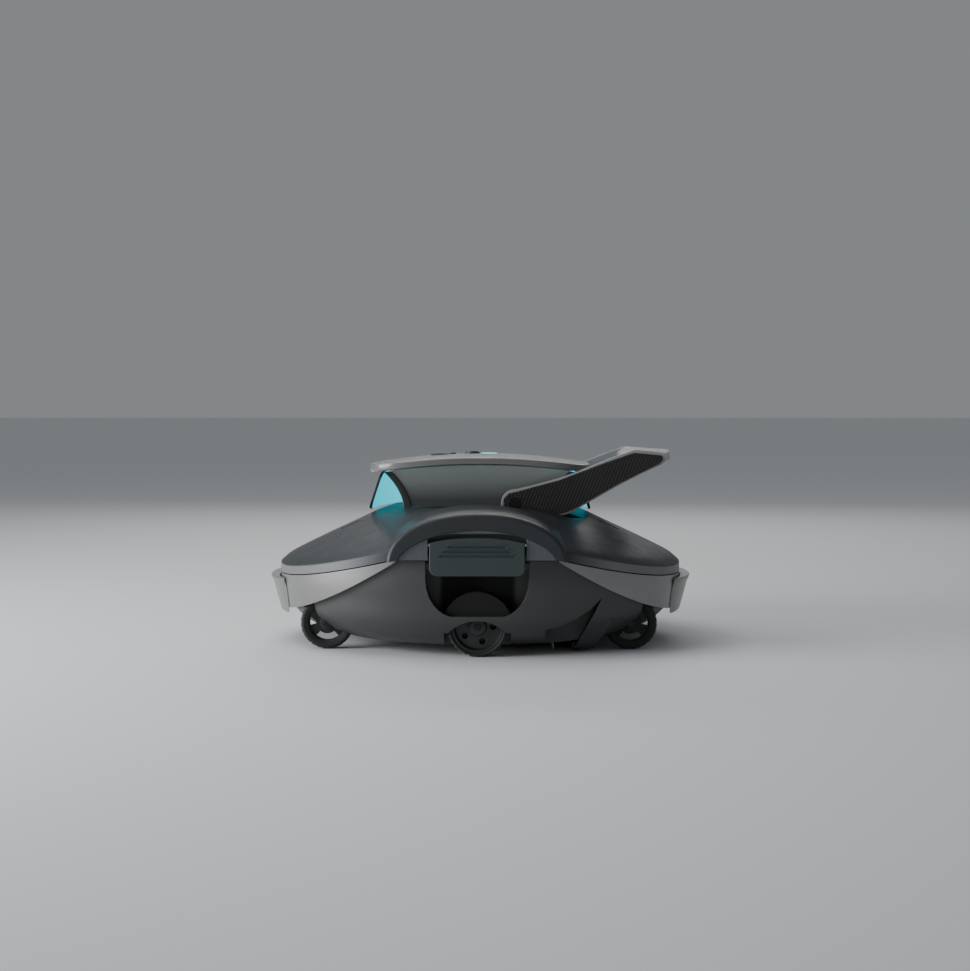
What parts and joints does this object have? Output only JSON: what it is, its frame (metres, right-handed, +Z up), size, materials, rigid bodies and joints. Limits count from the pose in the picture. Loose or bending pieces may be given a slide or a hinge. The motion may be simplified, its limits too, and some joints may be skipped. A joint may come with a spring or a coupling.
{
  "type": "robotic pool cleaner",
  "caption": "Low oval robotic pool cleaner on wheels, with a hinged carry handle, side latches and water-jet outlets under a raised roof.",
  "frame": {"origin": "on the floor the wheels stand on, under the middle of the machine", "axes": "-X is the way it drives, +X the end the handle rests towards, +Y to its right-hand side, +Z up"},
  "size_m": [0.416, 0.3768, 0.187],
  "materials": {
    "graphite_shell": "satin moulded",
    "pewter_band": "satin lacquered",
    "charcoal_hull": "satin moulded",
    "slate_plastic": "satin moulded",
    "cabin_plastic": "smooth",
    "aqua_plastic": "clear tinted",
    "black_plastic": "moulded",
    "black_rubber": "soft",
    "grip_rubber": "ribbed",
    "steel": "plain",
    "pale_plastic": "moulded",
    "filter_cloth": "fine woven",
    "battery_case": "shrink-wrapped",
    "lamp_lens": "clear"
  },
  "bodies": {
    "base": {"lower_hull": "charcoal_hull", "band_front": "pewter_band", "band_rear": "pewter_band", "bumper_front": "pewter_band", "bumper_rear": "pewter_band", "side_axle_left": "steel", "side_axle_right": "steel", "axle_front_left": "steel", "axle_front_right": "steel", "axle_rear_left": "steel", "axle_rear_right": "steel", "inlet_flap_pin_front": "steel", "inlet_flap_pin_rear": "steel", "suction_skirt": "charcoal_hull", "wiper_blade": "pale_plastic", "filter_frame": "pale_plastic", "filter_mesh": "filter_cloth"},
    "upper_housing": {"top_shell": "graphite_shell", "jet_nozzle_front": "aqua_plastic", "jet_nozzle_rear": "aqua_plastic", "nozzle_rim_front": "black_plastic", "nozzle_rim_rear": "black_plastic", "latch_surround_left": "slate_plastic", "latch_surround_right": "slate_plastic", "latch_pin_left": "steel", "latch_pin_right": "steel", "cabin_wall_left": "cabin_plastic", "cabin_wall_right": "cabin_plastic", "handle_pin_left": "steel", "handle_pin_right": "steel", "battery_left": "battery_case", "battery_right": "battery_case", "roof_cover": "cabin_plastic", "junction_box": "black_plastic", "flow_flap_pin": "steel", "inner_floor": "black_plastic", "pump_duct": "black_plastic", "pump_motor": "steel", "control_box": "black_plastic", "status_lamp": "lamp_lens"},
    "carry_handle": {"handle": "cabin_plastic", "grip_pad_left": "grip_rubber", "grip_pad_right": "grip_rubber"},
    "latch_lever_left": {"latch_left": "slate_plastic"},
    "latch_lever_right": {"latch_right": "slate_plastic"},
    "side_wheel_left": {"side_hub_left": "black_plastic", "side_tyre_left": "black_rubber"},
    "side_wheel_right": {"side_hub_right": "black_plastic", "side_tyre_right": "black_rubber"},
    "end_wheel_front_left": {"wheel_front_left": "black_rubber"},
    "end_wheel_front_right": {"wheel_front_right": "black_rubber"},
    "end_wheel_rear_left": {"wheel_rear_left": "black_rubber"},
    "end_wheel_rear_right": {"wheel_rear_right": "black_rubber"},
    "pump_rotor": {"impeller": "pale_plastic"},
    "jet_flap": {"flow_flap": "black_plastic"},
    "power_key": {"power_button": "slate_plastic"},
    "charge_cap": {"charge_port_cap": "black_rubber"},
    "intake_flap_front": {"inlet_flap_front": "black_rubber"},
    "intake_flap_rear": {"inlet_flap_rear": "black_rubber"}
  },
  "joints": [
    {"name": "upper_lift", "type": "slide", "parent": "base", "child": "upper_housing", "axis": [0, 0, 1], "range_m": [0, 0.12]},
    {"name": "handle_pivot", "type": "hinge", "parent": "upper_housing", "child": "carry_handle", "pos_m": [0.034, 0, 0.136], "axis": [0, -1, 0], "range_deg": [0, 80]},
    {"name": "latch_left_hinge", "type": "hinge", "parent": "upper_housing", "child": "latch_lever_left", "pos_m": [0, -0.181, 0.104], "axis": [-1, 0, 0], "range_deg": [0, 75]},
    {"name": "latch_right_hinge", "type": "hinge", "parent": "upper_housing", "child": "latch_lever_right", "pos_m": [0, 0.181, 0.104], "axis": [1, 0, 0], "range_deg": [0, 75]},
    {"name": "side_wheel_left_spin", "type": "hinge", "parent": "base", "child": "side_wheel_left", "pos_m": [0, -0.158, 0.0275], "axis": [0, 1, 0], "continuous": true},
    {"name": "side_wheel_right_spin", "type": "hinge", "parent": "base", "child": "side_wheel_right", "pos_m": [0, 0.158, 0.0275], "axis": [0, 1, 0], "continuous": true},
    {"name": "wheel_front_left_spin", "type": "hinge", "parent": "base", "child": "end_wheel_front_left", "pos_m": [-0.143, -0.105, 0.025], "axis": [0, 1, 0], "continuous": true},
    {"name": "wheel_front_right_spin", "type": "hinge", "parent": "base", "child": "end_wheel_front_right", "pos_m": [-0.143, 0.105, 0.025], "axis": [0, 1, 0], "continuous": true},
    {"name": "wheel_rear_left_spin", "type": "hinge", "parent": "base", "child": "end_wheel_rear_left", "pos_m": [0.143, -0.105, 0.025], "axis": [0, 1, 0], "continuous": true},
    {"name": "wheel_rear_right_spin", "type": "hinge", "parent": "base", "child": "end_wheel_rear_right", "pos_m": [0.143, 0.105, 0.025], "axis": [0, 1, 0], "continuous": true},
    {"name": "impeller_spin", "type": "hinge", "parent": "upper_housing", "child": "pump_rotor", "pos_m": [0, 0, 0.077], "axis": [0, 0, 1], "continuous": true},
    {"name": "jet_flap_swing", "type": "hinge", "parent": "upper_housing", "child": "jet_flap", "pos_m": [0, 0, 0.155], "axis": [0, 1, 0], "range_deg": [-55, 55]},
    {"name": "power_press", "type": "slide", "parent": "upper_housing", "child": "power_key", "axis": [0, 0, -1], "range_m": [0, 0.0018], "stiffness_N_per_m": 400},
    {"name": "charge_cap_hinge", "type": "hinge", "parent": "upper_housing", "child": "charge_cap", "pos_m": [-0.0495, 0, 0.1814], "axis": [0, -1, 0], "range_deg": [0, 95]},
    {"name": "intake_flap_front_swing", "type": "hinge", "parent": "base", "child": "intake_flap_front", "pos_m": [-0.024, 0, 0.0145], "axis": [0, 1, 0], "range_deg": [0, 45]},
    {"name": "intake_flap_rear_swing", "type": "hinge", "parent": "base", "child": "intake_flap_rear", "pos_m": [0.024, 0, 0.0145], "axis": [0, -1, 0], "range_deg": [0, 45]}
  ]
}
